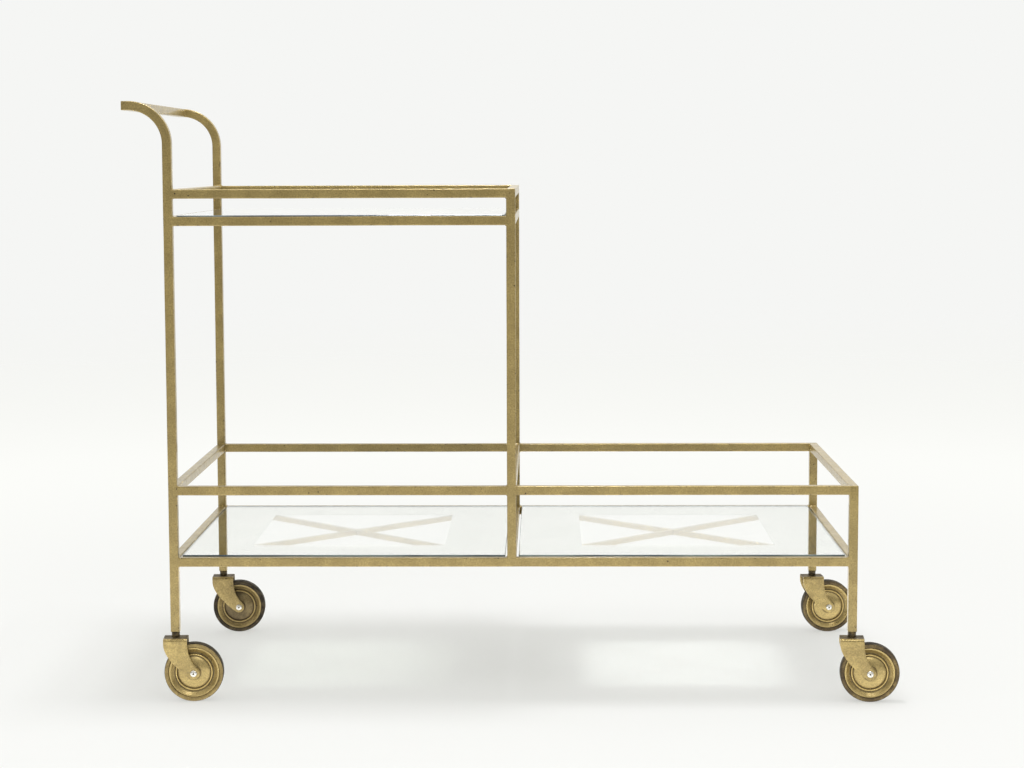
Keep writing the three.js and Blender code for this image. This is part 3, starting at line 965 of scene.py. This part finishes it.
WHEEL_FACE = mm([
    (3.4, 11.8), (7.4, 11.8), (8.3, 11.3), (8.8, 9.5), (10.2, 9.1), (14.0, 8.3), (18.4, 6.8), (21.3, 5.0),
    (22.3, 4.6), (22.8, 5.9), (23.9, 6.7), (25.0, 5.9), (25.5, 3.3), (27.2, 3.5), (29.6, 5.0), (31.2, 6.4),
    (32.6, 7.0), (33.7, 6.8), (34.1, 5.4),
])
WHEEL_BORE = 3.3 * MM
TYRE_FACE = mm([
    (33.9, 7.4), (34.5, 8.3), (36.0, 8.75), (38.0, 8.7), (39.0, 8.0), (39.6, 6.6), (39.66, 4.0), (39.66, 1.2),
])
TYRE_BORE = 33.8 * MM
RIM_START = 22.4 * MM  # where the dished middle of a wheel ends and its rim begins
TREAD_START = 38.8 * MM  # where a tyre's painted side ends
RIVET_HEAD = mm([
    (3.0, 15.05), (4.5, 15.05), (4.55, 15.7), (4.1, 16.6), (3.0, 17.2), (1.6, 17.4), (1.15, 17.3),
    (1.0, 16.7),
])
STEM_HEAD = mm([(0.02, 0.0), (3.4, 0.1), (5.0, 0.6), (5.8, 1.5), (5.9, 2.0), (3.0, 2.0)])


def outer_looks(outline, start):
    """Look 1 for the rows of a closed profile that lie beyond the radius start, look 0 for the others."""
    following = outline[1:] + outline[:1]
    return [int(min(first[0], second[0]) >= start) for first, second in zip(outline, following)]


def rivet():
    """The axle: a shaft with a domed head at each end, and a small dimple in each head, painted dark as the
    shade of a hollow rivet.
    """
    shape = Shape()
    side = softened(RIVET_HEAD)
    other = [(radius, -height) for radius, height in reversed(side)]
    tip = side[-1][1]
    outline = [(AXIS_RADIUS, -tip)] + other + side + [(AXIS_RADIUS, tip)]
    following = outline[1:] + outline[:1]
    # The dimple takes the dark steel: painted shade of the rivet's hollow.
    looks = [int(max(first[0], second[0]) <= DIMPLE_RADIUS) for first, second in zip(outline, following)]
    add_lathe(shape, outline, look=looks)
    return shape


def stem(bottom, top, collar_bottom, collar_top):
    """The caster's stem: a riveted head under the fork's plate, and a grooved collar under the post."""
    shape = Shape()
    groove = (collar_bottom + collar_top) / 2
    outline = [(radius, bottom + height) for radius, height in STEM_HEAD]
    outline += [
        (STEM_SHANK, collar_bottom),
        (COLLAR_END_RADIUS, collar_bottom),
        (COLLAR_RADIUS, collar_bottom + COLLAR_BEVEL),
        (COLLAR_RADIUS, groove - COLLAR_GROOVE_HALF),
        (COLLAR_GROOVE_RADIUS, groove - COLLAR_GROOVE_FLOOR),
        (COLLAR_GROOVE_RADIUS, groove + COLLAR_GROOVE_FLOOR),
        (COLLAR_RADIUS, groove + COLLAR_GROOVE_HALF),
        (COLLAR_RADIUS, collar_top - COLLAR_BEVEL),
        (COLLAR_END_RADIUS, collar_top),
        (STEM_SHANK, collar_top),
        (STEM_SHANK, top),
        (AXIS_RADIUS, top),
    ]
    add_lathe(shape, outline, about="z")
    return shape


# Looks of the fork, the tyre's sides, and the wheel's dish and rim
CASTERS = {
    "front_left": (caster_gold, tyre_gold, disc_gold, disc_gold),
    "front_right": (caster_gold, tyre_gold_worn, disc_gold, disc_gold),
    "rear_left": (caster_gold_worn_shaded, rubber, disc_brown, rim_dull),
    "rear_right": (caster_gold, tyre_gold_worn, disc_gold, disc_gold),
}

post_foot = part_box("post_left_front")[0].z

for corner, (fork_look, tyre_look, dish_look, rim_look) in CASTERS.items():
    stem_low, stem_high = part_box("caster_stem_" + corner)
    fork_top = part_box("caster_fork_" + corner)[1].z
    axis = (stem_low + stem_high) / 2
    tyre_low, tyre_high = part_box("caster_tyre_" + corner)
    wheel = (tyre_low + tyre_high) / 2
    axle_low, axle_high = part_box("caster_axle_" + corner)
    axle_z = (axle_low.z + axle_high.z) / 2
    turn = math.atan2(wheel.y - axis.y, wheel.x - axis.x)
    trail = math.hypot(wheel.y - axis.y, wheel.x - axis.x)
    upright = Matrix.Translation((axis.x, axis.y, 0))
    swivelled = upright @ Matrix.Rotation(turn, 4, "Z")
    at_axle = swivelled @ Matrix.Translation((trail, 0, axle_z))
    swivel_body = "swivel_" + corner
    wheel_body = "wheel_" + corner

    leg = fork(trail, axle_z, fork_top)
    leg.transform(swivelled)
    looks = [fork_look, plate_brown]
    leg.build("fork_" + corner, swivel_body, looks, "gilt_caster", ["caster_fork_" + corner])

    pin = rivet()
    pin.transform(at_axle)
    # The dark steel on each rivet's dimple is painted shade.
    looks = [steel_bright, steel_dark]
    pin.build("rivet_" + corner, swivel_body, looks, "rivet_steel", ["caster_axle_" + corner])

    disc = Shape()
    outline = both_faces(WHEEL_FACE, WHEEL_BORE)
    add_lathe(disc, outline, look=outer_looks(outline, RIM_START))
    disc.transform(at_axle)
    looks = [dish_look, rim_look]
    nodes = ["caster_wheel_" + corner]
    disc.build("disc_" + corner, wheel_body, looks, "gilt_caster", nodes, sharp=TURNED_SHARP)

    tyre = Shape()
    outline = both_faces(TYRE_FACE, TYRE_BORE)
    add_lathe(tyre, outline, look=outer_looks(outline, TREAD_START))
    tyre.transform(at_axle)
    looks = [tyre_look, rubber]
    tyre_slot = "bare_tyre" if tyre_look is rubber else "gilt_tyre"
    nodes = ["caster_tyre_" + corner]
    tyre.build("tyre_" + corner, wheel_body, looks, tyre_slot, nodes, sharp=TURNED_SHARP)

    stud = stem(stem_low.z, stem_high.z, fork_top + GAP, post_foot - GAP)
    stud.transform(upright)
    nodes = ["caster_stem_" + corner]
    stud.build("stem_" + corner, "frame", [steel_dark], "dark_steel", nodes, sharp=TURNED_SHARP)

    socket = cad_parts["caster_socket_" + corner]
    socket.data.materials.clear()
    socket.data.materials.append(steel_dark)


# ---------------------------------------------------------------- studio

FLOOR_HALF = 9.0
FLOOR_WHITE = shade(1.0, 1.005, 0.965)
FLOOR_THROUGH_GLASS = 0.47  # the floor's own light where it is seen through a clear window
COOL_WHITE = (0.97, 0.975, 1.0)
PLAIN_WHITE = (1.0, 1.0, 1.0)
ROOM_DIM = shade(0.33, 0.33, 0.32)
ROOM_BRIGHT = shade(1.0, 1.005, 0.98)
BACKGROUND = shade(0.915, 0.92, 0.905)


def studio_floor():
    """A white floor that glows, which makes its shadows paler, and that fades out far from the cart."""
    mesh = bpy.data.meshes.new("studio_floor")
    signs = ((-1, -1), (1, -1), (1, 1), (-1, 1))
    corners = [(x * FLOOR_HALF, y * FLOOR_HALF, 0) for x, y in signs]
    mesh.from_pydata(corners, [], [(0, 1, 2, 3)])
    floor = bpy.data.objects.new("studio_floor", mesh)
    scene.collection.objects.link(floor)
    floor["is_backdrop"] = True
    material = bpy.data.materials.new("studio_floor")
    material.use_nodes = True
    tree = material.node_tree
    tree.nodes.remove(tree.nodes["Principled BSDF"])
    place = add_node(tree, "ShaderNodeTexCoord").outputs["Object"]
    distance = add_node(tree, "ShaderNodeVectorMath", {0: place}, operation="LENGTH").outputs["Value"]
    paper = add_node(tree, "ShaderNodeBsdfDiffuse", {"Color": shade(0.3, 0.3, 0.3)})
    rays = add_node(tree, "ShaderNodeLightPath").outputs
    bounce = mapped(tree, distance, 0.5, 3.2, 1.15, 0.4)
    direct = mapped(tree, distance, 0.6, 2.6, 0.52, 0.645)
    to_camera = {0: rays["Is Camera Ray"], 2: bounce, 3: direct}
    strength = add_node(tree, "ShaderNodeMix", to_camera).outputs[0]
    through_glass = {0: rays["Is Transmission Ray"], 2: strength, 3: FLOOR_THROUGH_GLASS}
    strength = add_node(tree, "ShaderNodeMix", through_glass).outputs[0]
    glow = add_node(tree, "ShaderNodeEmission", {"Color": FLOOR_WHITE, "Strength": strength})
    lit = add_node(tree, "ShaderNodeAddShader", {0: paper.outputs[0], 1: glow.outputs[0]})
    nothing = add_node(tree, "ShaderNodeBsdfTransparent")
    fade = mapped(tree, distance, 2.5, 8.0)
    blend = add_node(tree, "ShaderNodeMixShader", {0: fade, 1: lit.outputs[0], 2: nothing.outputs[0]})
    tree.links.new(blend.outputs[0], tree.nodes["Material Output"].inputs["Surface"])
    mesh.materials.append(material)


def studio_light(name, place, target, side, power, colour=PLAIN_WHITE):
    """A square area light with the given side, turned to its target and hidden from the camera."""
    light = bpy.data.lights.new(name, "AREA")
    light.shape = "RECTANGLE"
    light.size = side
    light.size_y = side
    light.energy = power
    light.color = colour
    lamp = bpy.data.objects.new(name, light)
    scene.collection.objects.link(lamp)
    lamp.location = place
    lamp.rotation_mode = "QUATERNION"
    lamp.rotation_quaternion = (Vector(target) - Vector(place)).to_track_quat("-Z", "Y")
    lamp.visible_camera = False


def studio_world():
    """The room round the cart: one pale colour for the camera.

    For light and reflections it is bright behind the cart and overhead, and dim in front of it.
    """
    world = bpy.data.worlds.new("studio")
    scene.world = world
    world.use_nodes = True
    tree = world.node_tree
    tree.nodes.clear()
    way = add_node(tree, "ShaderNodeTexCoord").outputs["Generated"]
    parts = add_node(tree, "ShaderNodeSeparateXYZ", {0: way})
    behind = mapped(tree, parts.outputs["Y"], -0.3, 0.5)
    above = mapped(tree, parts.outputs["Z"], 0.15, 0.7)
    bright = combined(tree, "MAXIMUM", behind, combined(tree, "MULTIPLY", above, 0.9))
    room = mixed(tree, bright, ROOM_DIM, ROOM_BRIGHT)
    path = add_node(tree, "ShaderNodeLightPath").outputs["Is Camera Ray"]
    light = add_node(tree, "ShaderNodeBackground", {"Color": room, "Strength": 1.0})
    view = add_node(tree, "ShaderNodeBackground", {"Color": BACKGROUND, "Strength": 1.0})
    blend = add_node(tree, "ShaderNodeMixShader", {0: path, 1: light.outputs[0], 2: view.outputs[0]})
    output = add_node(tree, "ShaderNodeOutputWorld")
    tree.links.new(blend.outputs[0], output.inputs["Surface"])


studio_floor()
studio_world()
studio_light("overhead", (0.0, -0.05, 2.8), target=(0.0, 0.1, 0.0), side=0.5, power=42, colour=COOL_WHITE)
studio_light("front", (0.3, -1.8, 2.3), target=(0.0, 0.0, 0.3), side=0.9, power=10)
studio_light("side_left", (-2.6, -0.6, 1.8), target=(0.0, 0.0, 0.4), side=1.6, power=6)
studio_light("side_right", (2.8, -0.4, 1.7), target=(0.0, 0.0, 0.4), side=1.6, power=6)


# ---------------------------------------------------------------- camera


CAMERA_YAW = -0.0148
CAMERA_PITCH = 0.0995
CAMERA_ROLL = -0.0031
CAMERA_LENS = 78.3  # millimetres, on a sensor as wide as the next line says
CAMERA_SENSOR = 36.0
CAMERA_RIGHT = 43.07 * MM  # from the middle of the frame
CAMERA_DISTANCE = 2936.8 * MM  # from the front of the frame
CAMERA_HEIGHT = 722.2 * MM


def camera():
    """A camera in front of the cart that looks a little down on it. Its angles are in radians."""
    flat = math.cos(CAMERA_PITCH)
    forward = Vector((math.sin(CAMERA_YAW) * flat, math.cos(CAMERA_YAW) * flat, -math.sin(CAMERA_PITCH)))
    level = Vector((math.cos(CAMERA_YAW), -math.sin(CAMERA_YAW), 0.0))
    raised = level.cross(forward)
    right = level * math.cos(CAMERA_ROLL) + raised * math.sin(CAMERA_ROLL)
    top = raised * math.cos(CAMERA_ROLL) - level * math.sin(CAMERA_ROLL)
    data = bpy.data.cameras.new("camera")
    data.lens = CAMERA_LENS
    data.sensor_width = CAMERA_SENSOR
    eye = bpy.data.objects.new("camera", data)
    scene.collection.objects.link(eye)
    frame_middle = (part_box("post_right_front")[1].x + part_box("post_left_front")[1].x - TUBE) / 2
    eye.matrix_world = Matrix((right, top, -forward)).transposed().to_4x4()
    eye.location = (frame_middle + CAMERA_RIGHT, front_y - TUBE / 2 - CAMERA_DISTANCE, CAMERA_HEIGHT)
    scene.camera = eye


camera()
scene.view_settings.view_transform = "Standard"
scene.view_settings.look = "None"

low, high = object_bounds()
